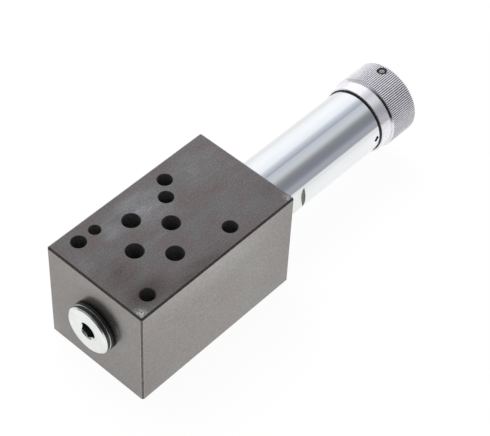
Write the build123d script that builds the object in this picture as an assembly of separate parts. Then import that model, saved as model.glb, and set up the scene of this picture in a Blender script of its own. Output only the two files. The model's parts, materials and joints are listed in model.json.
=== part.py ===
from build123d import *
import os
from math import cos, radians, sin

# Hydraulic sandwich valve, nominal size 6, a direct operated relief valve from P to T.
# It lies with its mounting face on the ground, +X towards the adjusting knob and +Z up.
# The origin is on the mounting face, midway between the two bolts nearest the knob.

# Block
block_length = 75.0
block_width = 45.0
block_height = 45.0
block_chamfer = 0.7
axis_height = 22.5

# Hole pattern of the mounting faces, measured from the bolts nearest the knob
bolt_hole_radius = 2.75
front_bolt_pitch = 31.0
rear_bolt_pitch = 32.5
bolt_rows_apart = 40.5
rear_bolt_margin = 9.0
port_radius = 3.25
cross_port_x = -21.5
cross_port_y = 10.4
port_a_x = -12.7
port_b_x = -30.2
drain_x = -5.5
drain_y = 9.5
drain_radius = 2.75
pin_x = -33.0
pin_y = 16.25
pin_radius = 2.15
pin_depth = 6.0
port_recess_radius = 6.2
drain_recess_radius = 4.4
recess_depth = 1.35
port_seal_width = 1.5

# Bore along the block
bore_radius = 6.0
relief_radius = 2.0
relief_plug_radius = 4.0
relief_plug_length = 6.0
relief_plug_socket = 4.0
plug_thread_radius = 8.0
plug_thread_length = 6.0
plug_hole_extra = 1.0
plug_chamber_radius = 7.6
plug_chamber_length = 3.0
spring_chamber_radius = 9.0
spring_chamber_offset = 0.5
housing_thread_radius = 11.0
housing_thread_length = 14.0
housing_hole_extra = 1.0
housing_recess_radius = 12.6
housing_recess_depth = 2.2
pilot_radius = 0.6
pilot_wall = 0.35
pilot_inset = 0.5

# Fits
running_clearance = 0.02
sliding_clearance = 0.04
thread_clearance = 0.02
seal_clearance = 0.03

# Blanking plug
plug_head_radius = 9.5
plug_head_length = 2.3
plug_head_gap = 1.5
plug_head_chamfer = 0.5
plug_socket = 6.0
plug_socket_depth = 4.6
plug_socket_mouth = 3.7
plug_seal_radius = 9.75

# Control spool
spool_stroke = 2.5
spool_waist_radius = 4.0
spigot_radius = 3.5
sensing_overlap = 1.0
b_waist_margin = 1.05
divider_land = 1.6
relief_waist = 1.5
land_overlap = 0.4
a_waist_margin = 0.55
guide_overrun = 2.4
spool_nose_radius = 3.0
spool_nose_length = 4.0
land_chamfer = 0.2

# Spring seat and spring
seat_radius = 8.2
seat_thickness = 2.5
seat_boss_radius = 4.7
seat_boss_length = 3.0
spring_mean_radius = 6.4
spring_wire_radius = 1.4
spring_turns = 8.0

# Spring housing
housing_radius = 13.0
housing_flats = 24.0
housing_flat_length = 18.5
sleeve_length = 60.95
dust_groove_radius = 11.5
dust_groove_width = 1.2
sleeve_tip_length = 1.85
sleeve_chamfer = 0.3
housing_bore_radius = 8.5
housing_end_wall = 15.5
mark_start = 58.45
mark_end = 60.0
mark_start_angle = 178.0
mark_end_angle = 171.2
mark_width = 1.1
mark_depth = 0.25

# Adjusting piston and spindle
piston_length = 11.0
piston_boss_radius = 4.7
piston_boss_length = 4.0
piston_groove_start = 3.2
piston_groove_width = 2.6
piston_groove_radius = 6.9
ball_radius = 2.5
ball_pocket_radius = 2.6
collar_radius = 6.5
collar_length = 3.0
spindle_radius = 5.0
spindle_end_radius = 4.0
spindle_flat_depth = 0.5
travel = 6.0

# Knob
dust_seal_shown = 0.75
skirt_radius = 14.0
skirt_bore_radius = 13.4
skirt_length = 5.3
grip_radius = 15.0
grip_length = 13.5
grip_chamfer = 0.7
knurl_ribs = 116
knurl_depth = 0.35
cavity_clearance = 1.0
knob_end_wall = 1.5
spindle_end_gap = 0.2
set_screw_radius = 2.0
set_screw_length = 10.9
set_screw_inset = 3.35
set_screw_angle = 86.1
set_screw_socket = 2.0
set_screw_socket_depth = 2.2
set_screw_point_radius = 1.25
set_screw_point_length = 1.0

# Stations along the axis that several pieces share
near_face = -bolt_rows_apart - rear_bolt_margin
far_face = near_face + block_length
plug_end = near_face + plug_thread_length
plug_hole_end = plug_end + plug_hole_extra
bore_start = plug_hole_end + plug_chamber_length
chamber_start = drain_x + spring_chamber_offset
housing_start = far_face - housing_thread_length
plug_head_back = near_face - plug_head_gap
plug_face = plug_head_back - plug_head_length
groove_start = far_face + sleeve_length
groove_end = groove_start + dust_groove_width
sleeve_end = groove_end + sleeve_tip_length
wall_inner = sleeve_end - housing_end_wall
spool_main_start = cross_port_x - relief_radius - land_overlap
spool_main_end = port_a_x - port_radius - a_waist_margin
spool_relief_start = spool_main_start - relief_waist
spool_divider_start = spool_relief_start - divider_land
spool_b_start = port_b_x - port_radius - b_waist_margin
spool_start = spool_b_start - spool_stroke - sensing_overlap
spool_guide_start = port_a_x + port_radius + a_waist_margin
spool_end = chamber_start + guide_overrun
seat_face = spool_end + seat_thickness
piston_back = wall_inner - collar_length
piston_front = piston_back - piston_length
knob_front = groove_start + dust_seal_shown
grip_start = knob_front + skirt_length
knob_end = grip_start + grip_length
cavity_bottom = sleeve_end + travel + cavity_clearance
hub_end = knob_end - knob_end_wall
spindle_end = hub_end - spindle_end_gap
set_screw_x = knob_end - set_screw_inset
along_axis = Pos(0, 0, axis_height)


def turned(*outline):
    """Solid of revolution about the valve's axis, from points given as (station, radius)."""
    profile = make_face(Polyline(*outline, close=True))
    return along_axis * revolve(profile, Axis.X, 360)


def rod(radius, start, end):
    """Round bar on the valve's axis between two stations."""
    return turned((start, 0), (end, 0), (end, radius), (start, radius))


def upright(radius, x, y, low, high):
    """Round bar along Z."""
    return Pos(x, y, low) * Cylinder(radius, high - low, align=(Align.CENTER, Align.CENTER, Align.MIN))


def squeezed_ring(inner, outer, start, end):
    """Seal ring, squeezed to an oval section between the faces that hold it."""
    section = Pos((start + end) / 2, (inner + outer) / 2) * Ellipse((end - start) / 2, (outer - inner) / 2)
    return along_axis * revolve(section, Axis.X, 360)


def hexagon_prism(across_flats, depth):
    """Hexagon bar that stands on its local XY plane, flats facing along X."""
    corner = across_flats / 2 / cos(radians(30))
    return extrude(RegularPolygon(corner, 6, rotation=30), depth)


def valve_block():
    """Steel block with its ports, bolt holes and the stepped bore."""
    middle = (near_face + far_face) / 2
    body = Pos(middle, 0, block_height / 2) * Box(block_length, block_width, block_height)
    body = chamfer(body.edges(), block_chamfer)
    holes = []
    for x, pitch in ((0, front_bolt_pitch), (-bolt_rows_apart, rear_bolt_pitch)):
        for side in (-1, 1):
            holes.append(upright(bolt_hole_radius, x, side * pitch / 2, 0, block_height))
    for x, y in port_places():
        holes.append(upright(port_radius, x, y, 0, block_height))
        holes.append(upright(port_recess_radius, x, y, 0, recess_depth))
    holes.append(upright(drain_radius, drain_x, drain_y, 0, block_height))
    holes.append(upright(drain_recess_radius, drain_x, drain_y, 0, recess_depth))
    holes.append(upright(pin_radius, pin_x, pin_y, block_height - pin_depth, block_height))
    holes.append(turned(
        (near_face, 0), (near_face, plug_thread_radius), (plug_hole_end, plug_thread_radius),
        (plug_hole_end, plug_chamber_radius), (bore_start, plug_chamber_radius), (bore_start, bore_radius),
        (chamber_start, bore_radius), (chamber_start, spring_chamber_radius),
        (housing_start - housing_hole_extra, spring_chamber_radius),
        (housing_start - housing_hole_extra, housing_thread_radius),
        (far_face - housing_recess_depth, housing_thread_radius),
        (far_face - housing_recess_depth, housing_recess_radius),
        (far_face, housing_recess_radius), (far_face, 0)))
    side = Pos(cross_port_x, block_width / 2, axis_height) * Rot(90, 0, 0)
    holes.append(side * Cylinder(relief_radius, block_width / 2 + cross_port_y,
                                 align=(Align.CENTER, Align.CENTER, Align.MIN)))
    holes.append(side * Cylinder(relief_plug_radius, relief_plug_length,
                                 align=(Align.CENTER, Align.CENTER, Align.MIN)))
    start, heading, reach = pilot_line()
    holes.append(Plane(start, z_dir=heading) * Cylinder(
        pilot_radius, reach, align=(Align.CENTER, Align.CENTER, Align.MIN)))
    return body - holes


def port_places():
    """Centres of P, T, A and B in the mounting face."""
    return [(cross_port_x, cross_port_y), (cross_port_x, -cross_port_y), (port_a_x, 0), (port_b_x, 0)]


def pilot_line():
    """Start, direction and length of the drilling from the plug's chamber to port P."""
    start = Vector(bore_start - pilot_inset, bore_radius + pilot_wall + pilot_radius, axis_height)
    aim = Vector(cross_port_x, cross_port_y, axis_height)
    return start, (aim - start).normalized(), (aim - start).length


def blanking_plug():
    """Socket plug that closes the near end of the bore."""
    neck = plug_thread_radius - thread_clearance
    body = turned(
        (plug_face, 0), (plug_face, plug_head_radius - plug_head_chamfer),
        (plug_face + plug_head_chamfer, plug_head_radius), (plug_head_back, plug_head_radius),
        (plug_head_back, neck), (plug_end - plug_head_chamfer, neck),
        (plug_end, neck - plug_head_chamfer), (plug_end, 0))
    mouth = turned((plug_face, 0), (plug_face, plug_socket_mouth), (plug_face + plug_socket_mouth, 0))
    outward = Plane((plug_face, 0, axis_height), x_dir=(0, 1, 0), z_dir=(1, 0, 0))
    return body - outward * hexagon_prism(plug_socket, plug_socket_depth) - mouth


def cross_drilling_plug():
    """Screw plug in the mouth of the cross drilling, flush with the block's long side."""
    side = Pos(cross_port_x, block_width / 2, axis_height) * Rot(90, 0, 0)
    body = Cylinder(relief_plug_radius - thread_clearance, relief_plug_length,
                    align=(Align.CENTER, Align.CENTER, Align.MIN))
    return side * (body - hexagon_prism(relief_plug_socket, relief_plug_length / 2))


def control_spool():
    """Spool with its lands, waists, the spigot that rests on the plug and the nose for the spring seat."""
    land = bore_radius - running_clearance
    return turned(
        (plug_end, 0), (plug_end, spigot_radius), (spool_start, spigot_radius),
        (spool_start, land - land_chamfer), (spool_start + land_chamfer, land), (spool_b_start, land),
        (spool_b_start, spool_waist_radius), (spool_divider_start, spool_waist_radius),
        (spool_divider_start, land), (spool_relief_start, land), (spool_relief_start, spool_waist_radius),
        (spool_main_start, spool_waist_radius), (spool_main_start, land), (spool_main_end, land),
        (spool_main_end, spool_waist_radius), (spool_guide_start, spool_waist_radius),
        (spool_guide_start, land), (spool_end - land_chamfer, land), (spool_end, land - land_chamfer),
        (spool_end, spool_nose_radius), (spool_end + spool_nose_length, spool_nose_radius),
        (spool_end + spool_nose_length, 0))


def spring_seat():
    """Flanged washer that sits on the spool's nose."""
    bore = spool_nose_radius + running_clearance
    boss_end = seat_face + seat_boss_length
    return turned(
        (spool_end, bore), (spool_end, seat_radius), (seat_face, seat_radius),
        (seat_face, seat_boss_radius), (boss_end, seat_boss_radius), (boss_end, bore))


def regulating_spring():
    """Compression spring between the seat and the adjusting piston, its ends ground flat."""
    gap = piston_front - seat_face
    pitch = (gap + 2 * spring_wire_radius) / spring_turns
    coil = Helix(pitch, gap + 2 * spring_wire_radius, spring_mean_radius)
    wire = sweep(Plane(coil @ 0, z_dir=coil % 0) * Circle(spring_wire_radius), path=coil)
    lying = Plane((seat_face - spring_wire_radius, 0, axis_height), x_dir=(0, 1, 0), z_dir=(1, 0, 0))
    space = rod(housing_bore_radius, seat_face, piston_front)
    return (lying * wire) & space


def spring_housing():
    """Plated sleeve with its threaded stub, wrench flats, dust seal groove and index mark."""
    stub = housing_thread_radius - thread_clearance
    body = turned(
        (housing_start, housing_bore_radius), (housing_start, stub), (far_face, stub),
        (far_face, housing_radius), (groove_start, housing_radius), (groove_start, dust_groove_radius),
        (groove_end, dust_groove_radius), (groove_end, housing_radius),
        (sleeve_end - sleeve_chamfer, housing_radius), (sleeve_end, housing_radius - sleeve_chamfer),
        (sleeve_end, spindle_radius), (wall_inner, spindle_radius), (wall_inner, housing_bore_radius))
    flat_middle = far_face + housing_flat_length / 2
    beyond = housing_radius - housing_flats / 2
    for side in (-1, 1):
        place = Pos(flat_middle, side * (housing_flats + beyond) / 2, axis_height)
        body -= place * Box(housing_flat_length, beyond, 2 * housing_radius)
    return body - index_mark()


def index_mark():
    """Slanted stroke cut into the sleeve beside the knob's skirt."""
    ends = []
    for station, angle in ((mark_start, mark_start_angle), (mark_end, mark_end_angle)):
        turn = radians(angle)
        ends.append(Vector(far_face + station, housing_radius * cos(turn), housing_radius * sin(turn)))
    middle = (ends[0] + ends[1]) / 2
    outward = Vector(0, middle.Y, middle.Z).normalized()
    stroke = ends[1] - ends[0]
    slot = Plane(middle, x_dir=stroke, z_dir=outward) * Box(stroke.length, mark_width, 2 * mark_depth)
    return along_axis * slot


def adjusting_piston():
    """Sliding plate that carries the spring's outer end and the thrust ball."""
    barrel = housing_bore_radius - sliding_clearance
    groove = piston_front + piston_groove_start
    body = turned(
        (piston_front - piston_boss_length, 0), (piston_front - piston_boss_length, piston_boss_radius),
        (piston_front, piston_boss_radius), (piston_front, barrel), (groove, barrel),
        (groove, piston_groove_radius), (groove + piston_groove_width, piston_groove_radius),
        (groove + piston_groove_width, barrel), (piston_back, barrel), (piston_back, 0))
    return body - rod(ball_pocket_radius, piston_back - ball_radius, piston_back)


def piston_seal():
    """Seal in the piston's groove, just clear of the sleeve's bore."""
    groove = piston_front + piston_groove_start
    return squeezed_ring(piston_groove_radius, housing_bore_radius - running_clearance,
                         groove, groove + piston_groove_width)


def adjusting_spindle():
    """Threaded spindle with its stop collar and the flat that the set screw bears on."""
    thread = spindle_radius - thread_clearance
    body = turned(
        (piston_back, 0), (piston_back, collar_radius), (wall_inner, collar_radius), (wall_inner, thread),
        (cavity_bottom, thread), (cavity_bottom, spindle_end_radius), (spindle_end, spindle_end_radius),
        (spindle_end, 0))
    body -= rod(ball_pocket_radius, piston_back, piston_back + ball_radius)
    flat_width = 2 * spindle_end_radius
    flat = Pos(0, 0, spindle_end_radius - spindle_flat_depth) * Box(
        spindle_end - cavity_bottom, flat_width, flat_width, align=(Align.MIN, Align.CENTER, Align.MIN))
    return body - along_axis * Rot(set_screw_angle - 90, 0, 0) * Pos(cavity_bottom, 0, 0) * flat


def set_screw_axis():
    """Places a solid that stands on the valve's axis along the set screw."""
    return along_axis * Rot(set_screw_angle - 90, 0, 0) * Pos(set_screw_x, 0, 0)


def adjusting_knob():
    """Knob with a smooth skirt that slides over the sleeve and a straight-knurled grip."""
    core = turned(
        (knob_front, skirt_bore_radius), (knob_front, skirt_radius), (grip_start, skirt_radius),
        (grip_start, grip_radius - grip_chamfer), (grip_start + grip_chamfer, grip_radius),
        (knob_end - grip_chamfer, grip_radius), (knob_end, grip_radius - grip_chamfer), (knob_end, 0),
        (hub_end, 0), (hub_end, spindle_end_radius + thread_clearance),
        (cavity_bottom, spindle_end_radius + thread_clearance), (cavity_bottom, skirt_bore_radius))
    across = Plane((knob_front, 0, axis_height), x_dir=(0, 1, 0), z_dir=(1, 0, 0))
    grip = extrude(across * knurl_outline(), knob_end - knob_front)
    bore = Pos(0, 0, spindle_end_radius - spindle_flat_depth) * Cylinder(
        set_screw_radius, grip_radius, align=(Align.CENTER, Align.CENTER, Align.MIN))
    return (core & grip) - set_screw_axis() * bore


def knurl_outline():
    """Star of straight knurl ribs, a crest and a root for each rib."""
    step = radians(360 / knurl_ribs)
    points = []
    for rib in range(knurl_ribs):
        for radius, turn in ((grip_radius, rib * step), (grip_radius - knurl_depth, (rib + 0.5) * step)):
            points.append((radius * cos(turn), radius * sin(turn)))
    return make_face(Polyline(*points, close=True))


def knob_set_screw():
    """Hexagon socket set screw whose point bears on the spindle's flat."""
    low = spindle_end_radius - spindle_flat_depth
    shank = set_screw_radius - thread_clearance
    outline = Polyline(
        (0, low), (set_screw_point_radius, low), (set_screw_point_radius, low + set_screw_point_length),
        (shank, low + set_screw_point_length), (shank, low + set_screw_length), (0, low + set_screw_length),
        close=True)
    body = revolve(Plane.XZ * make_face(outline), Axis.Z, 360)
    socket = Pos(0, 0, low + set_screw_length - set_screw_socket_depth) * hexagon_prism(
        set_screw_socket, set_screw_socket_depth)
    return set_screw_axis() * (body - socket)


def port_seal(x, y, recess):
    """O-ring in a recess of the mounting face, flush as when it is bolted down."""
    outer = recess - seal_clearance
    middle = outer - port_seal_width / 2
    section = Plane.XZ * Pos(middle, recess_depth / 2) * Ellipse(port_seal_width / 2, recess_depth / 2)
    return Pos(x, y, 0) * revolve(section, Axis.Z, 360)


def write_parts():
    """Writes each piece to its own file."""
    os.makedirs("parts", exist_ok=True)
    pieces = {
        "valve_block": valve_block(),
        "blanking_plug": blanking_plug(),
        "blanking_plug_seal": squeezed_ring(plug_thread_radius, plug_seal_radius, plug_head_back, near_face),
        "cross_drilling_plug": cross_drilling_plug(),
        "control_spool": control_spool(),
        "spring_seat": spring_seat(),
        "regulating_spring": regulating_spring(),
        "spring_housing": spring_housing(),
        "housing_seal": squeezed_ring(housing_thread_radius, housing_recess_radius - seal_clearance,
                                      far_face - housing_recess_depth, far_face),
        "dust_seal": squeezed_ring(dust_groove_radius, skirt_bore_radius - sliding_clearance,
                                   groove_start, groove_end),
        "adjusting_piston": adjusting_piston(),
        "piston_seal": piston_seal(),
        "thrust_ball": along_axis * Pos(piston_back, 0, 0) * Sphere(ball_radius),
        "adjusting_spindle": adjusting_spindle(),
        "adjusting_knob": adjusting_knob(),
        "knob_set_screw": knob_set_screw(),
        "drain_port_seal": port_seal(drain_x, drain_y, drain_recess_radius),
    }
    for letter, (x, y) in zip("ptab", port_places()):
        pieces["port_seal_" + letter] = port_seal(x, y, port_recess_radius)
    for node, shape in pieces.items():
        export_step(shape, "parts/" + node + ".step")


write_parts()
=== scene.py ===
import json
import math

import bmesh
import bpy
from mathutils import Matrix, Vector


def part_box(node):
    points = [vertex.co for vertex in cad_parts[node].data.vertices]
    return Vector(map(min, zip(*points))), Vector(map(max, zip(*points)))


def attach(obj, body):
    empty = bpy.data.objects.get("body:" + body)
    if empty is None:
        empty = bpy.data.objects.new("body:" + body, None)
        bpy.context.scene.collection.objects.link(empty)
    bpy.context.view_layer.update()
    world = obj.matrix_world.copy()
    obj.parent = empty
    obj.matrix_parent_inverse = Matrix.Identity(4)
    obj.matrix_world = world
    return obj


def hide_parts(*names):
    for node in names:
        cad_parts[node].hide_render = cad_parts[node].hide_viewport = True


# Hydraulic sandwich valve of nominal size 6: block, plug, spring sleeve and knurled knob.
# All sizes below are in millimetres; stations run along the valve's axis, +X towards the knob.

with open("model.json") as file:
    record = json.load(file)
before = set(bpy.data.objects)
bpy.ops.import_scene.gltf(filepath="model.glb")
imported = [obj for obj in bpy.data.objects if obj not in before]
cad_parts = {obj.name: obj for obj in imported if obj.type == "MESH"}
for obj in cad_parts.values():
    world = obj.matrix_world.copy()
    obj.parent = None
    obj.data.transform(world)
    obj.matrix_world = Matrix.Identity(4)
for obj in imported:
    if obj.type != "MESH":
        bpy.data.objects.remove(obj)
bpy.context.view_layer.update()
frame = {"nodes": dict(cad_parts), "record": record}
nodes = frame["nodes"]
mm = 0.001
overrun = 1.0  # how far a cutter starts outside what it cuts


def boxOf(node):
    low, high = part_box(node)
    return low / mm, high / mm


blockLow, blockHigh = boxOf("valve_block")
housingLow, housingHigh = boxOf("spring_housing")
knobLow, knobHigh = boxOf("adjusting_knob")
plugLow, plugHigh = boxOf("blanking_plug")
axisHeight = (knobLow.z + knobHigh.z) / 2
print("frame loaded:", len(nodes), "nodes")


# Small helpers

def linear(hexColor):
    # sRGB hex to the linear values that the shaders take
    parts = [int(hexColor[i:i + 2], 16) / 255 for i in (1, 3, 5)]
    return [p / 12.92 if p <= 0.04045 else ((p + 0.055) / 1.055) ** 2.4 for p in parts] + [1.0]


def feed(tree, node, inputs):
    # inputs by name, or in the node's own order: a socket is linked, anything else is set
    pairs = inputs.items() if isinstance(inputs, dict) else enumerate(inputs)
    for name, source in pairs:
        if isinstance(source, bpy.types.NodeSocket):
            tree.links.new(source, node.inputs[name])
        else:
            node.inputs[name].default_value = source


def addNode(tree, kind, inputs=(), **settings):
    # in the calls below Map Range takes its value, from low, from high, to low and to high
    node = tree.nodes.new(kind)
    for name, value in settings.items():
        setattr(node, name, value)
    feed(tree, node, inputs)
    return node


def fillRamp(node, stops):
    # stops are (position, hex colour)
    ramp = node.color_ramp
    while len(ramp.elements) < len(stops):
        ramp.elements.new(0.5)
    for element, (position, color) in zip(ramp.elements, stops):
        element.position = position
        element.color = linear(color)
    return node.outputs["Color"]


def addPiece(name, mesh, materials):
    piece = bpy.data.objects.new(name, mesh)
    bpy.context.scene.collection.objects.link(piece)
    for material in materials:
        mesh.materials.append(material)
    return piece


def finishMesh(bm, name, sharpAngle=30):
    # merged, facing outwards, smooth with sharp creases
    bmesh.ops.remove_doubles(bm, verts=bm.verts, dist=0.0005 * mm)
    bmesh.ops.recalc_face_normals(bm, faces=bm.faces)
    for face in bm.faces:
        face.smooth = True
    mesh = bpy.data.meshes.new(name)
    bm.to_mesh(mesh)
    bm.free()
    mesh.set_sharp_from_angle(angle=math.radians(sharpAngle))
    return mesh


def applied(piece):
    # the evaluated mesh with every modifier applied, on a plain object
    evaluated = piece.evaluated_get(bpy.context.evaluated_depsgraph_get())
    mesh = bpy.data.meshes.new_from_object(evaluated)
    piece.modifiers.clear()
    piece.data = mesh
    return piece


def cutAway(piece, cutterMesh, materials):
    cutter = addPiece("cutter", cutterMesh, materials)
    cut = piece.modifiers.new("cut", "BOOLEAN")
    cut.operation = "DIFFERENCE"
    cut.solver = "EXACT"
    cut.object = cutter
    applied(piece)
    bpy.data.objects.remove(cutter)


def axisPoint(x, radius, angle):
    # angle runs from +Y towards +Z round the valve's axis
    return Vector((x, radius * math.cos(angle), axisHeight + radius * math.sin(angle))) * mm


def lathe(profile, segments, radiusAt=None, slotOf=None, place=axisPoint):
    # turns a closed outline of (station, radius) points about the valve's axis, or one that place gives
    bm = bmesh.new()
    rings = []
    for x, radius in profile:
        if radius < 1e-6:
            rings.append([bm.verts.new(place(x, 0, 0))] * segments)
            continue
        ring = []
        for i in range(segments):
            angle = 2 * math.pi * i / segments
            reach = radiusAt(x, radius, angle) if radiusAt else radius
            ring.append(bm.verts.new(place(x, reach, angle)))
        rings.append(ring)
    for row, (near, far) in enumerate(zip(rings, rings[1:] + rings[:1])):
        for i in range(segments):
            j = (i + 1) % segments
            corners = list(dict.fromkeys([near[i], near[j], far[j], far[i]]))
            if len(corners) > 2:
                face = bm.faces.new(corners)
                face.material_index = slotOf(row, i) if slotOf else 0
    return bm


def prism(place, sides, radius, low, high, slot=0):
    # round or many-sided bar along the local Z of place
    bm = bmesh.new()
    bmesh.ops.create_cone(bm, cap_ends=True, segments=sides, radius1=radius * mm, radius2=radius * mm,
                          depth=(high - low) * mm)
    bm.transform(place @ Matrix.Translation((0, 0, (low + high) / 2 * mm)))
    for face in bm.faces:
        face.material_index = slot
    return bm


def hexagonSocket(place, across, low, high):
    # cutter for a hexagon socket, whose walls take the piece's second finish
    return finishMesh(prism(place, 6, across / 2 / math.cos(math.radians(30)), low, high, 1), "socket", 10)


# Camera at the photograph's view, for an image of 490 x 436
view = {"place": (-277.55, -256.11, 465.68), "turn": (41.4114, -2.1061, -47.4563), "lens": 120.82,
        "sensor": 36.0, "clip": (0.01, 20)}


def placeCamera():
    data = bpy.data.cameras.new("camera")
    data.sensor_fit = "HORIZONTAL"
    data.sensor_width = view["sensor"]
    data.lens = view["lens"]
    data.clip_start, data.clip_end = view["clip"]
    camera = bpy.data.objects.new("camera", data)
    camera.location = Vector(view["place"]) * mm
    camera.rotation_euler = [math.radians(v) for v in view["turn"]]
    bpy.context.scene.collection.objects.link(camera)
    bpy.context.scene.camera = camera


placeCamera()
print("camera placed")


# Materials

noiseReach = (0.3, 0.7)  # a noise pattern mostly stays between these


def newMaterial(name):
    material = bpy.data.materials.new(name)
    material.use_nodes = True
    tree = material.node_tree
    shader = tree.nodes["Principled BSDF"]
    place = addNode(tree, "ShaderNodeTexCoord").outputs["Object"]
    return material, tree, shader, place


def mottle(tree, place, sizeMm, detail=4.0, stretch=(1, 1, 1), roughness=0.55, distortion=0.0):
    # noise whose blotches are about sizeMm across
    stretched = addNode(tree, "ShaderNodeMapping", {"Vector": place, "Scale": stretch}).outputs[0]
    return addNode(tree, "ShaderNodeTexNoise",
                   {"Vector": stretched, "Scale": 1 / (sizeMm * mm), "Detail": detail,
                    "Roughness": roughness, "Distortion": distortion}).outputs["Fac"]


def varied(tree, color, pattern, share, reach=noiseReach):
    # the colour made darker and lighter by a share, as the pattern runs over its reach
    factor = addNode(tree, "ShaderNodeMapRange", (pattern, *reach, 1 - share, 1 + share)).outputs[0]
    return addNode(tree, "ShaderNodeVectorMath", {0: color, "Scale": factor}, operation="SCALE").outputs[0]


def turnedRings(tree, place, pitchMm, depthMm):
    # relief of fine rings along the valve's axis, one ridge a turn of the tool
    along = addNode(tree, "ShaderNodeSeparateXYZ", (place,)).outputs["X"]
    turns = addNode(tree, "ShaderNodeMath", (along, 2 * math.pi / (pitchMm * mm)),
                    operation="MULTIPLY").outputs[0]
    wave = addNode(tree, "ShaderNodeMath", (turns,), operation="SINE").outputs[0]
    height = addNode(tree, "ShaderNodeMapRange", (wave, -1.0, 1.0, 0.0, 1.0)).outputs[0]
    return addNode(tree, "ShaderNodeBump", {"Height": height, "Distance": depthMm * mm}).outputs[0]


def markMask(tree, place, at, reach, share, broken):
    # soft oval spot on a face, broken up by noise: share in its middle, 0 at its reach
    local = addNode(tree, "ShaderNodeMapping",
                    {"Vector": place, "Location": Vector(at) * mm, "Scale": Vector(reach) * mm},
                    vector_type="TEXTURE").outputs[0]
    away = addNode(tree, "ShaderNodeVectorMath", (local,), operation="LENGTH").outputs["Value"]
    spot = addNode(tree, "ShaderNodeMapRange", (away, 1.0, 0.0, 0.0, share),
                   interpolation_type="SMOOTHSTEP").outputs[0]
    return addNode(tree, "ShaderNodeMath", (spot, broken), operation="MULTIPLY").outputs[0]


def phosphatedSteel(name, finish):
    # ground carbon steel with a thin phosphate coat: dark satin grey with brown and grey clouds, fine
    # grinding lines along the valve, a fine grain, and listed spots made lighter or darker: some are real
    # rubbing and stains, the others painted light and shade
    material, tree, shader, place = newMaterial(name)
    clouds = mottle(tree, place, 9.0, detail=5.0, stretch=(0.7, 1, 1), roughness=0.6, distortion=0.4)
    scuffs = mottle(tree, place, 4.0, stretch=(0.6, 1, 1), roughness=0.65)
    # real grinding lines are some 0.05 mm apart, drawn about 0.5 mm wide so that they show
    lines = mottle(tree, place, 0.5, detail=2.0, stretch=(0.03, 1, 1))
    grain = mottle(tree, place, 0.6, detail=3.0, roughness=0.7)
    tones = list(zip((0.36, 0.5, 0.62), finish["tones"]))
    color = fillRamp(addNode(tree, "ShaderNodeValToRGB", (clouds,)), tones)
    # how the spots are broken up
    cloudy = addNode(tree, "ShaderNodeMapRange", (scuffs, 0.35, 0.65, 0.35, 1.3)).outputs[0]
    speckled = addNode(tree, "ShaderNodeMapRange", (grain, 0.42, 0.6, 0.0, 1.6)).outputs[0]
    even = addNode(tree, "ShaderNodeMapRange", (scuffs, *noiseReach, 0.9, 1.1)).outputs[0]
    broken = {"cloudy": cloudy, "speckled": speckled, "even": even}
    for at, reach, share, tone, kind in finish["marks"]:
        mask = markMask(tree, place, at, reach, share, broken[kind])
        color = addNode(tree, "ShaderNodeMix", {0: mask, 6: color, 7: linear(tone)},
                        data_type="RGBA").outputs[2]
    for pattern, share in ((clouds, "cloudy"), (scuffs, "cloudy"), (lines, "streaky"), (grain, "grainy")):
        color = varied(tree, color, pattern, finish[share])
    # painted light and shade: the colour runs darker towards low X + Y, the block's corner beside the plug,
    # and lighter towards high X + Y
    split = addNode(tree, "ShaderNodeSeparateXYZ", (place,)).outputs
    along = addNode(tree, "ShaderNodeMath", (split["X"], split["Y"]), operation="ADD").outputs[0]
    color = varied(tree, color, along, finish["paintedFalloff"], (-70 * mm, 45 * mm))
    level = finish["roughness"]
    rough = addNode(tree, "ShaderNodeMapRange",
                    (scuffs, *noiseReach, level - 0.03, level + 0.03)).outputs[0]
    feed(tree, shader, {"Base Color": color, "Metallic": finish["metallic"], "Roughness": rough})
    return material


def darkCutSteel(name, color, roughness, metallic=1.0):
    # cut steel under the thicker coat of chamfers and drilled walls: darker, with soft specks
    material, tree, shader, place = newMaterial(name)
    specks = mottle(tree, place, 1.2, detail=3.0)
    feed(tree, shader, {"Base Color": varied(tree, linear(color)[:3], specks, 0.2), "Metallic": metallic,
                        "Roughness": roughness})
    return material


def zincPlatedSteel(name, color, roughness, waviness, cloudy=0.015):
    # turned steel, bright zinc plated: near mirror with a cool white tone and soft plating clouds
    material, tree, shader, place = newMaterial(name)
    clouds = mottle(tree, place, 6.0, detail=3.0, stretch=(0.35, 1, 1))
    rough = addNode(tree, "ShaderNodeMapRange",
                    (clouds, *noiseReach, roughness * 0.85, roughness * 1.15)).outputs[0]
    # real turned rings are some 0.1 mm apart, drawn 0.35 mm apart so that they show
    feed(tree, shader, {"Base Color": varied(tree, linear(color)[:3], clouds, cloudy), "Metallic": 1.0,
                        "Roughness": rough, "Normal": turnedRings(tree, place, 0.35, 0.0004 * waviness)})
    return material


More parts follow.
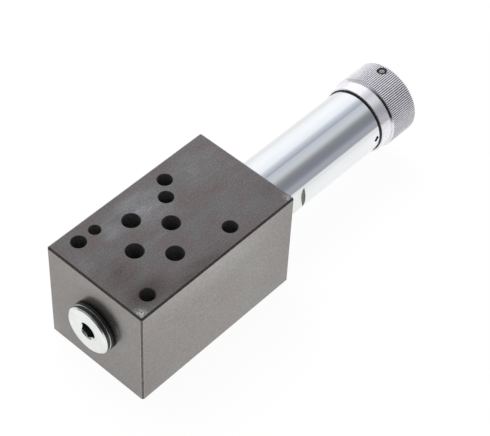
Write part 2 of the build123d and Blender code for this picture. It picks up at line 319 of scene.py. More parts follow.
def anodisedAluminium(name, finish):
    # turned aluminium, clear anodised: lilac grey, its oxide layer scatters a part of the light; darker
    # in the grooves of the knurl as painted shade, and its fine turned rings are drawn 0.4 mm apart so that
    # they show
    material, tree, shader, place = newMaterial(name)
    clouds = mottle(tree, place, 2.5, detail=3.0)
    split = addNode(tree, "ShaderNodeSeparateXYZ", (place,)).outputs
    along, aside = split["X"], split["Y"]
    above = addNode(tree, "ShaderNodeMath", (split["Z"], axisHeight * mm), operation="SUBTRACT").outputs[0]
    across = addNode(tree, "ShaderNodeCombineXYZ", {"Y": aside, "Z": above}).outputs[0]
    radius = addNode(tree, "ShaderNodeVectorMath", (across,), operation="LENGTH").outputs["Value"]
    crest = addNode(tree, "ShaderNodeMapRange", (radius, *(r * mm for r in finish["grooves"])),
                    interpolation_type="SMOOTHSTEP").outputs[0]
    start, end = finish["knurl"]
    before = addNode(tree, "ShaderNodeMath", (along, start * mm), operation="LESS_THAN").outputs[0]
    beyond = addNode(tree, "ShaderNodeMath", (along, end * mm), operation="GREATER_THAN").outputs[0]
    smooth = addNode(tree, "ShaderNodeMath", (before, beyond), operation="MAXIMUM").outputs[0]
    clear = addNode(tree, "ShaderNodeMath", (crest, smooth), operation="MAXIMUM").outputs[0]
    toned = addNode(tree, "ShaderNodeMix",
                    {0: clear, 6: linear(finish["grooveShadeTone"]), 7: linear(finish["tone"])},
                    data_type="RGBA").outputs[2]
    # painted shade: the step in front of the grip is darkened on its -Y side above the axis, where it faces
    # away from the light
    step, reach = finish["step"]
    nearStep = addNode(tree, "ShaderNodeMath", (along, step * mm, reach * mm),
                       operation="COMPARE").outputs[0]
    low, high = finish["shadeAside"]
    turned = addNode(tree, "ShaderNodeMapRange", (aside, low * mm, high * mm, 1.0, 0.0)).outputs[0]
    low, high = finish["shadeAbove"]
    upper = addNode(tree, "ShaderNodeMapRange", (above, low * mm, high * mm, 0.0, 1.0)).outputs[0]
    sided = addNode(tree, "ShaderNodeMath", (turned, upper), operation="MULTIPLY").outputs[0]
    shaded = addNode(tree, "ShaderNodeMath", (nearStep, sided), operation="MULTIPLY").outputs[0]
    toned = addNode(tree, "ShaderNodeMix", {0: shaded, 6: toned, 7: linear(finish["stepPaintedShade"])},
                    data_type="RGBA").outputs[2]
    metallic = addNode(tree, "ShaderNodeMapRange", (smooth, 0.0, 1.0, *finish["metallic"])).outputs[0]
    rough = addNode(tree, "ShaderNodeMapRange", (smooth, 0.0, 1.0, *finish["roughness"])).outputs[0]
    feed(tree, shader, {"Base Color": varied(tree, toned, clouds, 0.04), "Metallic": metallic,
                        "Roughness": rough, "Normal": turnedRings(tree, place, 0.4, 0.001)})
    return material


def nitrileRubber(name):
    # moulded nitrile rubber: near black, satin, a trace of dust
    material, tree, shader, place = newMaterial(name)
    specks = mottle(tree, place, 0.8)
    tone = fillRamp(addNode(tree, "ShaderNodeValToRGB", (specks,)), [(0.3, "#101011"), (0.75, "#1a1a1b")])
    rough = addNode(tree, "ShaderNodeMapRange", (specks, *noiseReach, 0.42, 0.56)).outputs[0]
    relief = addNode(tree, "ShaderNodeBump", {"Height": specks, "Distance": 0.01 * mm}).outputs[0]
    feed(tree, shader, {"Base Color": tone, "Roughness": rough, "Normal": relief})
    return material


def blackOxideSteel(name):
    # black oxide on hardened steel: black with a soft oily gloss
    material, tree, shader, place = newMaterial(name)
    specks = mottle(tree, place, 0.5)
    tone = fillRamp(addNode(tree, "ShaderNodeValToRGB", (specks,)), [(0.3, "#151516"), (0.75, "#222224")])
    rough = addNode(tree, "ShaderNodeMapRange", (specks, *noiseReach, 0.28, 0.4)).outputs[0]
    feed(tree, shader, {"Base Color": tone, "Metallic": 0.6, "Roughness": rough})
    return material


def groundSteel(name, color, roughness, metallic=1.0):
    # hardened and ground steel: bright grey with fine rings round the axis
    material, tree, shader, place = newMaterial(name)
    specks = mottle(tree, place, 0.7, stretch=(4, 1, 1))
    rough = addNode(tree, "ShaderNodeMapRange",
                    (specks, *noiseReach, roughness - 0.05, roughness + 0.05)).outputs[0]
    feed(tree, shader, {"Base Color": varied(tree, linear(color)[:3], specks, 0.08), "Metallic": metallic,
                        "Roughness": rough, "Normal": turnedRings(tree, place, 0.25, 0.0008)})
    return material


# The block's faces; a mark is (middle, reach, share, tone, how it is broken up)
top = blockHigh.z
rubbedAndLit, stainedAndShaded, pale, shadow, paintedSideShade = "#a4a5a9", "#544a46", "#c9c6c4", "#3c3a39", "#7a7472"
mountingFace = {
    "tones": ("#7b7270", "#7a7473", "#787674"), "roughness": 0.34, "metallic": 1.0, "cloudy": 0.06,
    "streaky": 0.05, "grainy": 0.3, "paintedFalloff": 0.06,
    "marks": [
        # lighter spots on the +Y half of the top and darker ones on the -Y half: partly real rubbing and
        # stains, partly painted light and shade; the pale specks at two corners are real scuffs
        ((-19, 16.5, top), (12, 4, 5), 0.3, rubbedAndLit, "cloudy"),
        ((-29, 12, top), (9, 6, 5), 0.32, rubbedAndLit, "cloudy"),
        ((-46, 9, top), (5, 8, 5), 0.22, rubbedAndLit, "cloudy"),
        ((-21, -1, top), (11, 2.5, 5), 0.16, rubbedAndLit, "cloudy"),
        ((-14, 11, top), (15, 12, 5), 0.5, rubbedAndLit, "cloudy"),
        ((13, 12, top), (18, 12, 5), 0.18, rubbedAndLit, "cloudy"),
        ((-41, -4, top), (10, 11, 5), 0.45, stainedAndShaded, "cloudy"),
        ((-40, -15.5, top), (13, 8, 5), 0.9, stainedAndShaded, "even"),
        ((-22, -21, top), (26, 6, 5), 0.6, stainedAndShaded, "cloudy"),
        ((21, -14, top), (7, 9, 5), 0.25, stainedAndShaded, "cloudy"),
        ((-48, -20.8, top), (3.6, 4.2, 5), 0.8, pale, "speckled"),
        ((24, -21.5, top), (2.4, 4, 5), 0.6, pale, "speckled")]}
endFace = {
    "tones": ("#8b8684", "#8b8785", "#8a8987"), "roughness": 0.22, "metallic": 0.8, "cloudy": 0.03,
    "streaky": 0.0, "grainy": 0.2, "paintedFalloff": 0.02,
    "marks": [
        # a painted shadow and reflection of the plug, above it and towards -Y, then a broad darker patch
        # centred on the +Y half
        ((blockLow.x, -3, 30), (5, 15, 14), 0.75, shadow, "even"),
        ((blockLow.x, 12, 18), (5, 20, 30), 0.35, "#6a6462", "even")]}
longSide = {
    "tones": ("#97918f", "#969290", "#949592"), "roughness": 0.26, "metallic": 1.0, "cloudy": 0.02,
    "streaky": 0.02, "grainy": 0.2, "paintedFalloff": 0.0,
    "marks": [
        # painted light along the top of the side, then painted shade over its +X end and low at its -X end
        ((-20, blockLow.y, top), (50, 5, 15), 0.48, "#b8b2b0", "even"),
        ((28, blockLow.y, 22), (30, 5, 45), 0.4, paintedSideShade, "even"),
        ((-50, blockLow.y, 8), (20, 5, 24), 0.25, paintedSideShade, "even")]}
# the knob: metallic and roughness are (knurl, smooth parts), grooves the radii between which painted
# shade darkens them, knurl its stations, step (middle, reach) of the one with painted shade, and then
# its bounds in Y and above the axis
knobFinish = {
    "tone": "#f5f3f8", "grooveShadeTone": "#706e75", "stepPaintedShade": "#4a494e", "grooves": (14.68, 14.94),
    "knurl": (knobHigh.x - 12.85, knobHigh.x - 0.65), "step": (knobHigh.x - 13.3, 0.24),
    "shadeAside": (-6, -1), "shadeAbove": (4, 7), "metallic": (0.55, 0.78), "roughness": (0.32, 0.15)}
mountingFaceSteel = phosphatedSteel("ground_phosphated_steel", mountingFace)
endFaceSteel = phosphatedSteel("milled_phosphated_end_steel", endFace)
longSideSteel = phosphatedSteel("milled_phosphated_side_steel", longSide)
chamferSteel = darkCutSteel("phosphated_chamfer_steel", "#6a6464", 0.35)
# the end chamfers' rubbed coat, its tone darkened as painted shade of the dim room they mirror
endChamferSteel = darkCutSteel("rubbed_chamfer_steel_with_painted_shade", "#69645f", 0.35)
edgeSteel = darkCutSteel("rubbed_edge_steel", "#b7b2ae", 0.35)
drilledSteel = darkCutSteel("oiled_drilled_steel", "#8f8f8e", 0.45, 0.88)
zincSteel = zincPlatedSteel("bright_zinc_plated_steel", "#f6f8fa", 0.10, 1.0)
milledZinc = zincPlatedSteel("zinc_plated_milled_steel", "#f1f3f1", 0.2, 0.0)
plugSteel = zincPlatedSteel("zinc_plated_plug_steel", "#eceeec", 0.19, 1.0, 0.07)
# rougher zinc whose dark tone is painted shade on the flats' shoulders
shoulderZinc = zincPlatedSteel("dull_zinc_with_painted_shade_on_shoulders", "#7f8181", 0.3, 0.0)
# rougher zinc whose dark tone is painted shade in the plug's socket
recessZinc = zincPlatedSteel("dull_zinc_with_painted_shade_in_recesses", "#7b7c7c", 0.35, 0.0)
# rougher zinc whose dark tone is painted shade on the plug head's side
rimZinc = zincPlatedSteel("dull_zinc_with_painted_shade_on_the_plug_rim", "#828484", 0.25, 1.0)
knobAluminium = anodisedAluminium("clear_anodised_aluminium", knobFinish)
sealRubber = nitrileRubber("nitrile_rubber")
screwSteel = blackOxideSteel("black_oxide_steel")
spoolSteel = groundSteel("hardened_ground_steel", "#c9cacc", 0.22)
wireSteel = groundSteel("oil_tempered_spring_wire", "#6c6d72", 0.38)
# light walls for the set screw's socket: partly worn by the key, partly a painted glint
wornGlintSteel = groundSteel("worn_socket_steel_with_painted_glint", "#dadadc", 0.45, 0.3)
print("materials made")


# Valve block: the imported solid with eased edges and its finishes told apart
block = {"sideEase": 0.08, "topEase": 0.05, "rimEase": 0.2, "rimExtra": 0.12}
onTop, onEnd, onChamfer, onEdge, onWall, onSide, onEndChamfer = range(7)
blockSteels = [mountingFaceSteel, endFaceSteel, chamferSteel, edgeSteel, drilledSteel, longSideSteel,
               endChamferSteel]


def blockFinish(face):
    normal, centre = face.normal, face.calc_center_median() / mm
    steepest = max(abs(v) for v in normal)
    inside = min(min(abs(centre[i] - blockLow[i]), abs(centre[i] - blockHigh[i])) for i in range(3))
    if steepest > 0.999 and inside < 0.01:
        return onTop if abs(normal.z) > 0.999 else onSide if abs(normal.y) > 0.999 else onEnd
    if inside < 1.0 and abs(steepest - math.sqrt(1 / 2)) < 0.01:
        return onEndChamfer if abs(normal.y) < 0.01 else onChamfer
    if inside < 1.0 and abs(steepest - math.sqrt(1 / 3)) < 0.01:
        return onChamfer
    return onWall


def makeBlock():
    bm = bmesh.new()
    bm.from_mesh(nodes["valve_block"].data)
    bmesh.ops.remove_doubles(bm, verts=bm.verts, dist=0.001 * mm)
    bmesh.ops.dissolve_limit(bm, angle_limit=math.radians(0.5), verts=bm.verts, edges=bm.edges)
    bm.normal_update()
    for face in bm.faces:
        face.material_index = blockFinish(face)
    sides = [{onEnd, onChamfer}, {onChamfer, onSide}, {onEnd, onEndChamfer}]
    upper = [{onTop, onChamfer}, {onTop, onEndChamfer}]
    mouths = [{onTop, onWall}, {onEnd, onWall}, {onWall, onSide}]
    for pairs, ease, finish in ((sides, "sideEase", onEdge), (upper, "topEase", onEdge),
                                (mouths, "rimEase", onChamfer)):
        edges = [e for e in bm.edges if len(e.link_faces) == 2
                 and {f.material_index for f in e.link_faces} in pairs]
        made = bmesh.ops.bevel(bm, geom=edges, offset=block[ease] * mm, segments=1, affect="EDGES",
                               clamp_overlap=True, material=finish)
        print("eased", len(made["faces"]), "block edge faces")
    # slanting edges in the top face hold the last bevel back, so the hole rims are widened afterwards
    bm.normal_update()
    rims = {face for face in made["faces"] if face.normal.z > 0.5}
    for vert in {vert for face in rims for vert in face.verts}:
        inward = sum((face.normal for face in vert.link_faces if face in rims), Vector())
        upperEdge = abs(vert.co.z / mm - blockHigh.z) < 0.01
        move = -Vector((inward.x, inward.y, 0)).normalized() if upperEdge else Vector((0, 0, -1))
        vert.co += move * block["rimExtra"] * mm
    mesh = bpy.data.meshes.new("valveBlock")
    bm.to_mesh(mesh)
    bm.free()
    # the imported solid's corner normals don't fit the eased edges
    mesh.attributes.remove(mesh.attributes["custom_normal"])
    mesh.set_sharp_from_angle(angle=math.radians(20))
    return addPiece("valveBlock", mesh, blockSteels)


valveBlock = makeBlock()
print("block made")


# Blanking plug with its hexagon socket; the head's fine groove is (distance from its back, depth)
plug = {"headRadius": 9.5, "headLength": 2.3, "faceChamfer": 0.5, "neckRadius": 7.98, "socket": 6.0,
        "socketDepth": 4.6, "socketMouth": 3.7, "sealRadius": 9.75, "sealBore": 8.0, "segments": 192,
        "groove": ((0.62, 0), (0.5, 0.12), (0.38, 0.12), (0.3, 0)), "backEase": 0.06, "mouthLead": 0.2}


def makePlug():
    front, back, end = plugLow.x, plugLow.x + plug["headLength"], plugHigh.x
    radius, neck = plug["headRadius"], plug["neckRadius"]
    ease, backEase = plug["faceChamfer"], plug["backEase"]
    groove = [(back - distance, radius - depth) for distance, depth in plug["groove"]]
    outline = [(front, 0), (front, radius - ease), (front + ease, radius), *groove,
               (back - backEase, radius), (back, radius - backEase), (back, neck), (end - ease, neck),
               (end, neck - ease), (end, 0)]
    # the head's side and its groove lie in rows 2 to 4, whose darker tone is painted shade, the groove's
    # bright edge in row 5
    bm = lathe(outline, plug["segments"], slotOf=lambda row, column: 2 if 2 <= row <= 4 else 0)
    piece = addPiece("blankingPlug", finishMesh(bm, "blankingPlug"), [plugSteel, recessZinc, rimZinc])
    # the hexagon has a corner on top
    axis = (Matrix.Translation((0, 0, axisHeight * mm)) @ Matrix.Rotation(math.radians(90), 4, "Y")
            @ Matrix.Rotation(math.radians(30), 4, "Z"))
    socket = hexagonSocket(axis, plug["socket"], front - overrun, front + plug["socketDepth"])
    cutAway(piece, socket, [plugSteel, recessZinc])
    # the socket's mouth is countersunk at 45 degrees
    wide, lead = plug["socketMouth"], plug["mouthLead"]
    mouth = lathe([(front - lead, 0), (front - lead, wide + lead), (front + wide, 0)], plug["segments"])
    cutAway(piece, finishMesh(mouth, "mouth"), [plugSteel])
    piece.data.set_sharp_from_angle(angle=math.radians(25))
    return piece


blankingPlug = makePlug()
print("plug made")


# O-rings: how many parts they have along the ring and round its cord
seal = {"along": 160, "round": 28}


def sealRing(name, start, end, inner, outer):
    # squeezed O-ring between two stations
    middle, half = (start + end) / 2, (end - start) / 2
    centre, swell = (inner + outer) / 2, (outer - inner) / 2
    outline = []
    for i in range(seal["round"]):
        turn = 2 * math.pi * i / seal["round"]
        outline.append((middle + half * math.cos(turn), centre + swell * math.sin(turn)))
    return addPiece(name, finishMesh(lathe(outline, seal["along"]), name, 60), [sealRubber])


# Spring housing: the plated sleeve with wrench flats, seal groove and index stroke, which runs between
# two points of (distance from the block, angle)
housing = {"radius": 13.0, "flats": 24.0, "flatLength": 18.5, "stubRadius": 10.98, "boreRadius": 8.5,
           "grooveRadius": 11.5, "grooveStart": 60.95, "grooveWidth": 1.2, "grooveEase": 0.05,
           "sealRadius": 13.36, "endChamfer": 0.3, "spindleRadius": 5.0, "endWall": 15.5, "faceEase": 0.2,
           "markStart": (58.45, 178.0), "markEnd": (60.0, 171.2), "markWidth": 1.7, "markDepth": 0.3,
           "segments": 288}
grooveStart = blockHigh.x + housing["grooveStart"]
grooveEnd = grooveStart + housing["grooveWidth"]


def makeHousing():
    face, start, end = blockHigh.x, housingLow.x, housingHigh.x
    flatEnd = face + housing["flatLength"]
    radius, bore, stub = housing["radius"], housing["boreRadius"], housing["stubRadius"]
    ease, chamfer, grooveEase = housing["faceEase"], housing["endChamfer"], housing["grooveEase"]
    spindle, wall, floor = housing["spindleRadius"], end - housing["endWall"], housing["grooveRadius"]
    whole = radius + 1e-3  # stands for the whole circle where the flats end
    outline = [
        (start, bore), (start, stub - ease), (start + ease, stub), (face, stub), (face, radius - ease),
        (face + ease, radius), (flatEnd, radius), (flatEnd, whole), (grooveStart - grooveEase, radius),
        (grooveStart, radius - grooveEase), (grooveStart, floor), (grooveEnd, floor), (grooveEnd, radius),
        (end - chamfer, radius), (end, radius - chamfer), (end, spindle), (wall, spindle), (wall, bore)]

    def radiusAt(x, wanted, angle):
        # up to the flats' end the section is a circle cut by two lines
        if x > flatEnd or wanted > radius:
            return min(wanted, radius)
        return min(wanted, housing["flats"] / 2 / max(abs(math.cos(angle)), 1e-6))

    finishes = [zincSteel, screwSteel, milledZinc, shoulderZinc]
    flatReach = math.acos(housing["flats"] / 2 / radius)

    def finishAt(row, column):
        # the milled flats lie in row 5, their shoulders in row 6, darkened as painted shade
        angle = 2 * math.pi * (column + 0.5) / housing["segments"]
        fromSide = min(abs(angle), abs(angle - math.pi), abs(angle - 2 * math.pi))
        return {5: 2, 6: 3}.get(row, 0) if fromSide < flatReach else 0

    bm = lathe(outline, housing["segments"], radiusAt, finishAt)
    piece = addPiece("springHousing", finishMesh(bm, "springHousing", 15), finishes)
    ends = []
    for along, angle in (housing["markStart"], housing["markEnd"]):
        ends.append(axisPoint(face + along, radius, math.radians(angle)))
    middle, stroke = (ends[0] + ends[1]) / 2, ends[1] - ends[0]
    outward = Vector((0, middle.y, middle.z - axisHeight * mm)).normalized()
    side = outward.cross(stroke.normalized())
    cutter = bmesh.new()
    bmesh.ops.create_cube(cutter, size=1)
    turn = Matrix((stroke.normalized(), side, outward)).transposed().to_4x4()
    size = Matrix.Diagonal((stroke.length, housing["markWidth"] * mm, 2 * housing["markDepth"] * mm, 1))
    cutter.transform(Matrix.Translation(middle) @ turn @ size)
    for wallFace in cutter.faces:
        wallFace.material_index = 1
    cutAway(piece, finishMesh(cutter, "mark", 10), finishes)
    piece.data.set_sharp_from_angle(angle=math.radians(15))
    return piece


springHousing = makeHousing()
plugSeal = sealRing("blankingPlugSeal", plugLow.x + plug["headLength"], blockLow.x, plug["sealBore"],
                    plug["sealRadius"])
dustSeal = sealRing("dustSeal", grooveStart, grooveEnd, housing["grooveRadius"], housing["sealRadius"])
print("housing and seals made")


# Adjusting knob: one knurl sector, repeated round the axis by Geometry Nodes
knob = {"ribs": 116, "crestRadius": 15.0, "depth": 0.35, "crestShare": 0.24, "rootShare": 0.12,
        "skirtRadius": 14.0, "skirtBore": 13.4, "gripLength": 13.5, "chamfer": 0.7,
        "hubBore": 4.02, "endWall": 1.5, "hubLength": 9.5, "faceEase": 0.04, "mergeReach": 0.002}
# Set screw with a hexagon socket, its stations measured outwards from the valve's axis
screw = {"inset": 3.35, "angle": 86.1, "holeRadius": 2.0, "radius": 1.98, "low": 3.5, "length": 11.2,
         "topEase": 0.3, "socket": 2.0, "socketDepth": 2.2, "pointRadius": 1.25, "pointLength": 1.0,
         "taper": 0.5, "segments": 48, "holeSegments": 64}
screwPlace = (Matrix.Translation(Vector((knobHigh.x - screw["inset"], 0, axisHeight)) * mm)
              @ Matrix.Rotation(math.radians(screw["angle"] - 90), 4, "X"))


def knurlColumns():
    # (share of the pitch, radius) across one rib: root, flank, crest, flank, root
    crest, root = knob["crestShare"] / 2, knob["rootShare"] / 2
    high, low = knob["crestRadius"], knob["crestRadius"] - knob["depth"]
    return [(-0.5, low), (-0.5 + root, low), (-crest, high), (crest, high), (0.5 - root, low), (0.5, low)]


def knobSector():
    # a wedge of the whole knob, one rib wide, whose cut sides stay open until the copies are merged
    front, end = knobLow.x, knobHigh.x
    grip = end - knob["gripLength"]
    rise = knob["crestRadius"] - knob["chamfer"]
    cavity, hub = end - knob["hubLength"], end - knob["endWall"]
    bore, inner, outer, ease = knob["hubBore"], knob["skirtBore"], knob["skirtRadius"], knob["faceEase"]
    plain = [(hub, 0), (hub, bore), (cavity, bore), (cavity, inner), (front, inner), (front, outer - ease),
             (front + ease, outer), (grip, outer), (grip, rise)]
    columns = knurlColumns()
    pitch = 2 * math.pi / knob["ribs"]
    rows = [[point] * len(columns) for point in plain]
    # the ribs run between two 45 degree chamfers
    rows.append([(grip + radius - rise, radius) for _, radius in columns])
    rows.append([(end - radius + rise, radius) for _, radius in columns])
    rows += [[(end, rise)] * len(columns), [(end, 0)] * len(columns)]
    bm = bmesh.new()
    rings = []
    for row in rows:
        ring = []
        for (x, radius), (share, _) in zip(row, columns):
            ring.append(bm.verts.new(axisPoint(x, radius, share * pitch)))
        rings.append(ring)
    for near, far in zip(rings, rings[1:]):
        for i in range(len(columns) - 1):
            bm.faces.new([near[i], near[i + 1], far[i + 1], far[i]])
    bmesh.ops.remove_doubles(bm, verts=bm.verts, dist=0.0005 * mm)
    mesh = bpy.data.meshes.new("knobSector")
    bm.to_mesh(mesh)
    bm.free()
    return addPiece("knobSector", mesh, [knobAluminium])


def ringOfCopies(name, source, count, material):
    # Geometry Nodes: copies of one sector turned about the valve's axis and merged
    tree = bpy.data.node_groups.new(name, "GeometryNodeTree")
    tree.interface.new_socket("Geometry", in_out="OUTPUT", socket_type="NodeSocketGeometry")
    sectorSocket = tree.interface.new_socket("Sector", in_out="INPUT", socket_type="NodeSocketObject")
    countSocket = tree.interface.new_socket("Ribs", in_out="INPUT", socket_type="NodeSocketInt")
    heightSocket = tree.interface.new_socket("Axis Height", in_out="INPUT", socket_type="NodeSocketFloat")
    asked = addNode(tree, "NodeGroupInput").outputs
    sector = addNode(tree, "GeometryNodeObjectInfo", {"Object": asked["Sector"]}).outputs["Geometry"]
    below = addNode(tree, "ShaderNodeMath", (asked["Axis Height"], -1.0), operation="MULTIPLY").outputs[0]
    down = addNode(tree, "ShaderNodeCombineXYZ", {"Z": below}).outputs[0]
    up = addNode(tree, "ShaderNodeCombineXYZ", {"Z": asked["Axis Height"]}).outputs[0]
    onAxis = addNode(tree, "GeometryNodeTransform", {"Geometry": sector, "Translation": down}).outputs[0]
    points = addNode(tree, "GeometryNodePoints", {"Count": asked["Ribs"]}).outputs[0]
    index = addNode(tree, "GeometryNodeInputIndex").outputs[0]
    share = addNode(tree, "ShaderNodeMath", (index, asked["Ribs"]), operation="DIVIDE").outputs[0]
    angle = addNode(tree, "ShaderNodeMath", (share, 2 * math.pi), operation="MULTIPLY").outputs[0]
    turn = addNode(tree, "ShaderNodeCombineXYZ", {"X": angle}).outputs[0]
    copies = addNode(tree, "GeometryNodeInstanceOnPoints",
                     {"Points": points, "Instance": onAxis, "Rotation": turn}).outputs[0]
    plain = addNode(tree, "GeometryNodeRealizeInstances", (copies,)).outputs[0]
    merged = addNode(tree, "GeometryNodeMergeByDistance",
                     {"Geometry": plain, "Distance": knob["mergeReach"] * mm}).outputs[0]
    raised = addNode(tree, "GeometryNodeTransform", {"Geometry": merged, "Translation": up}).outputs[0]
    finished = addNode(tree, "GeometryNodeSetMaterial",
                       {"Geometry": raised, "Material": material}).outputs[0]
    addNode(tree, "NodeGroupOutput", (finished,))
    piece = addPiece(name, bpy.data.meshes.new(name), [material])
    modifier = piece.modifiers.new("copies", "NODES")
    modifier.node_group = tree
    modifier[sectorSocket.identifier] = source
    modifier[countSocket.identifier] = count
    modifier[heightSocket.identifier] = axisHeight * mm
    return applied(piece)


def makeKnob():
    sector = knobSector()
    piece = ringOfCopies("adjustingKnob", sector, knob["ribs"], knobAluminium)
    bpy.data.objects.remove(sector)
    bm = bmesh.new()
    bm.from_mesh(piece.data)
    bmesh.ops.recalc_face_normals(bm, faces=bm.faces)
    for face in bm.faces:
        face.smooth = True
    bm.to_mesh(piece.data)
    bm.free()
    hole = prism(screwPlace, screw["holeSegments"], screw["holeRadius"], screw["low"],
                 knob["crestRadius"] + overrun)
    cutAway(piece, finishMesh(hole, "screwHole"), [knobAluminium])
    piece.data.set_sharp_from_angle(angle=math.radians(22))
    return piece


adjustingKnob = makeKnob()
print("knob made:", len(adjustingKnob.data.polygons), "faces")


def screwPoint(height, radius, angle):
    return screwPlace @ (Vector((radius * math.cos(angle), radius * math.sin(angle), height)) * mm)


def makeSetScrew():
    low, radius, ease, point = screw["low"], screw["radius"], screw["topEase"], screw["pointRadius"]
    head, shoulder = low + screw["length"], low + screw["pointLength"]
    outline = [(low, 0), (low, point), (shoulder, point), (shoulder + screw["taper"], radius),
               (head - ease, radius), (head, radius - ease), (head, 0)]
    bm = lathe(outline, screw["segments"], place=screwPoint)
    piece = addPiece("knobSetScrew", finishMesh(bm, "knobSetScrew", 25), [screwSteel, wornGlintSteel])
    socket = hexagonSocket(screwPlace, screw["socket"], head - screw["socketDepth"], head + overrun)
    cutAway(piece, socket, [screwSteel, wornGlintSteel])
    piece.data.set_sharp_from_angle(angle=math.radians(25))
    return piece


knobSetScrew = makeSetScrew()
print("set screw made")


# What each new piece stands for, rides on and the finish slot listed with it
replaced = set()
for piece, node, body, slot in (
        (valveBlock, "valve_block", "root", "dark_steel"),
        (blankingPlug, "blanking_plug", "root", "plated_steel"),
        (plugSeal, "blanking_plug_seal", "root", "black_rubber"),
        (dustSeal, "dust_seal", "root", "black_rubber"),
        (springHousing, "spring_housing", "root", "plated_steel"),
        (adjustingKnob, "adjusting_knob", "knob", "knob_aluminium"),
        (knobSetScrew, "knob_set_screw", "knob", "blackened_steel")):
    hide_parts(node)
    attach(piece, body)
    replaced.add(node)

# Carried-over solids take the finish of their slot
carried = {"black_rubber": sealRubber, "blackened_steel": screwSteel, "ground_steel": spoolSteel,
           "spring_steel": wireSteel}
for part in frame["record"]["subparts"]:
    if part["node"] not in replaced:
        mesh = nodes[part["node"]].data
        mesh.materials.clear()
        mesh.materials.append(carried[part["material_slot"]])
print("finishes set")


# Studio: pale floor, a soft tent of light and one lamp. Metal sees the paper's glow fall from 1 to a
# level in front of the plug (front) and out to both sides (sides), and by a drop beside the sleeve (bands).
studio = {"floorReach": 1500, "floorEdge": -230, "floorDrop": 0.02, "floorColor": "#f4f4f2",
          "front": (-150, 0, 0.84), "sides": (30, 90, 0.82), "bands": (25, 60, 18, 36, -0.1),
          "glowInMetal": 0.8, "glowInView": 0.95, "ambient": 0.75, "depth": (-0.45, 0.5, 0.34, 1.05),
          "lampPlace": (150, 500, 800), "lampTarget": (20, 0, 20), "lampSize": 700, "lampPower": 8}
# the tent's tones by degrees from the +Y side over the zenith to -Y
tent = [(0, "#f0f2f4"), (30, "#fbfcfe"), (52, "#f4f6f9"), (64, "#ecf0f5"), (72, "#cdd3da"), (80, "#b8bcc5"),
        (87, "#aeb3bc"), (88.6, "#7f8591"), (90.2, "#b9bfc6"), (104, "#c5c9ce"), (113, "#c6c9cc"),
        (120, "#b4b7b9"), (128, "#909397"), (137, "#808288"), (150, "#7d7f87"), (160, "#888a93"),
        (168, "#a0a1a9"), (180, "#a0a2a8")]
white = (1, 1, 1, 1)


def makeFloor():
    bm = bmesh.new()
    reach, edge = studio["floorReach"] * mm, studio["floorEdge"] * mm
    corners = [(-reach, edge), (reach, edge), (reach, reach), (-reach, reach)]
    bm.faces.new([bm.verts.new((x, y, -studio["floorDrop"] * mm)) for x, y in corners])
    mesh = bpy.data.meshes.new("floor")
    bm.to_mesh(mesh)
    bm.free()
    material = bpy.data.materials.new("white_paper_floor")
    material.use_nodes = True
    tree = material.node_tree
    tree.nodes.clear()
    paper = addNode(tree, "ShaderNodeBsdfDiffuse", {"Color": linear(studio["floorColor"])}).outputs[0]
    place = addNode(tree, "ShaderNodeTexCoord").outputs["Object"]
    split = addNode(tree, "ShaderNodeSeparateXYZ", (place,)).outputs
    along = split["X"]
    aside = addNode(tree, "ShaderNodeMath", (split["Y"],), operation="ABSOLUTE").outputs[0]
    start, end, level = studio["front"]
    front = addNode(tree, "ShaderNodeMapRange", (along, start * mm, end * mm, level, 1.0)).outputs[0]
    start, end, level = studio["sides"]
    sides = addNode(tree, "ShaderNodeMapRange", (aside, start * mm, end * mm, 1.0, level)).outputs[0]
    start, end, near, far, drop = studio["bands"]
    beyond = addNode(tree, "ShaderNodeMapRange", (along, start * mm, end * mm, 0.0, 1.0)).outputs[0]
    beside = addNode(tree, "ShaderNodeMapRange", (aside, near * mm, far * mm, 0.0, drop)).outputs[0]
    bands = addNode(tree, "ShaderNodeMath", (beyond, beside), operation="MULTIPLY").outputs[0]
    dimmed = addNode(tree, "ShaderNodeMath", (front, sides, bands), operation="MULTIPLY_ADD").outputs[0]
    ray = addNode(tree, "ShaderNodeLightPath").outputs
    seen = ray["Is Camera Ray"]
    mirrored = addNode(tree, "ShaderNodeMath", (ray["Is Glossy Ray"], ray["Is Transmission Ray"]),
                       operation="MAXIMUM").outputs[0]
    strength = addNode(tree, "ShaderNodeMath", (dimmed, seen), operation="MAXIMUM").outputs[0]
    glow = addNode(tree, "ShaderNodeEmission", {"Color": white, "Strength": strength}).outputs[0]
    inMetal = addNode(tree, "ShaderNodeMath", (mirrored, studio["glowInMetal"]),
                      operation="MULTIPLY").outputs[0]
    inView = addNode(tree, "ShaderNodeMath", (seen, studio["glowInView"]), operation="MULTIPLY").outputs[0]
    share = addNode(tree, "ShaderNodeMath", (inMetal, inView), operation="ADD").outputs[0]
    mixed = addNode(tree, "ShaderNodeMixShader", (share, paper, glow)).outputs[0]
    addNode(tree, "ShaderNodeOutputMaterial", {"Surface": mixed})
    floor = addPiece("floor", mesh, [material])


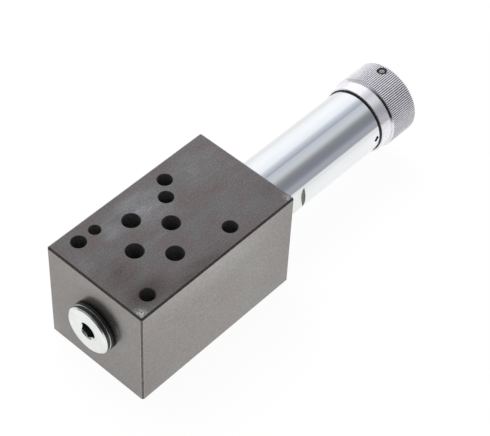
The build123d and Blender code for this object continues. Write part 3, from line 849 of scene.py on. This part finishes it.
def makeWorld():
    # metal sees soft strips along the valve: bright on the +Y side, grey past the zenith, darkest on -Y
    world = bpy.data.worlds.new("tent")
    bpy.context.scene.world = world
    world.use_nodes = True
    tree = world.node_tree
    tree.nodes.clear()
    place = addNode(tree, "ShaderNodeTexCoord").outputs["Generated"]
    split = addNode(tree, "ShaderNodeSeparateXYZ", (place,)).outputs
    up = addNode(tree, "ShaderNodeMath", (split["Z"],), operation="ABSOLUTE").outputs[0]
    angle = addNode(tree, "ShaderNodeMath", (up, split["Y"]), operation="ARCTAN2").outputs[0]
    share = addNode(tree, "ShaderNodeMapRange", (angle, 0.0, math.pi, 0.0, 1.0)).outputs[0]
    strips = fillRamp(addNode(tree, "ShaderNodeValToRGB", (share,)),
                      [(degrees / 180, tone) for degrees, tone in tent])
    # the room behind the camera is dim
    depth = addNode(tree, "ShaderNodeMapRange", (split["X"], *studio["depth"]),
                    interpolation_type="SMOOTHSTEP").outputs[0]
    ray = addNode(tree, "ShaderNodeLightPath").outputs
    mirrored = addNode(tree, "ShaderNodeMath", (ray["Is Glossy Ray"], ray["Is Transmission Ray"]),
                       operation="MAXIMUM").outputs[0]
    lit = addNode(tree, "ShaderNodeBackground", (white, studio["ambient"])).outputs[0]
    seenInMetal = addNode(tree, "ShaderNodeBackground", (strips, depth)).outputs[0]
    behind = addNode(tree, "ShaderNodeBackground", (white, 1.0)).outputs[0]
    inner = addNode(tree, "ShaderNodeMixShader", (mirrored, lit, seenInMetal)).outputs[0]
    outer = addNode(tree, "ShaderNodeMixShader", (ray["Is Camera Ray"], inner, behind)).outputs[0]
    addNode(tree, "ShaderNodeOutputWorld", {"Surface": outer})


def makeLamp():
    place, target = Vector(studio["lampPlace"]), Vector(studio["lampTarget"])
    data = bpy.data.lights.new("softBox", "AREA")
    data.shape = "SQUARE"
    data.size = studio["lampSize"] * mm
    data.energy = studio["lampPower"]
    lamp = bpy.data.objects.new("softBox", data)
    lamp.location = place * mm
    lamp.rotation_mode = "QUATERNION"
    lamp.rotation_quaternion = (target - place).to_track_quat("-Z", "Y")
    lamp.visible_glossy = False
    bpy.context.scene.collection.objects.link(lamp)


makeFloor()
makeWorld()
makeLamp()
bpy.context.scene.view_settings.view_transform = "Standard"
print("studio made")
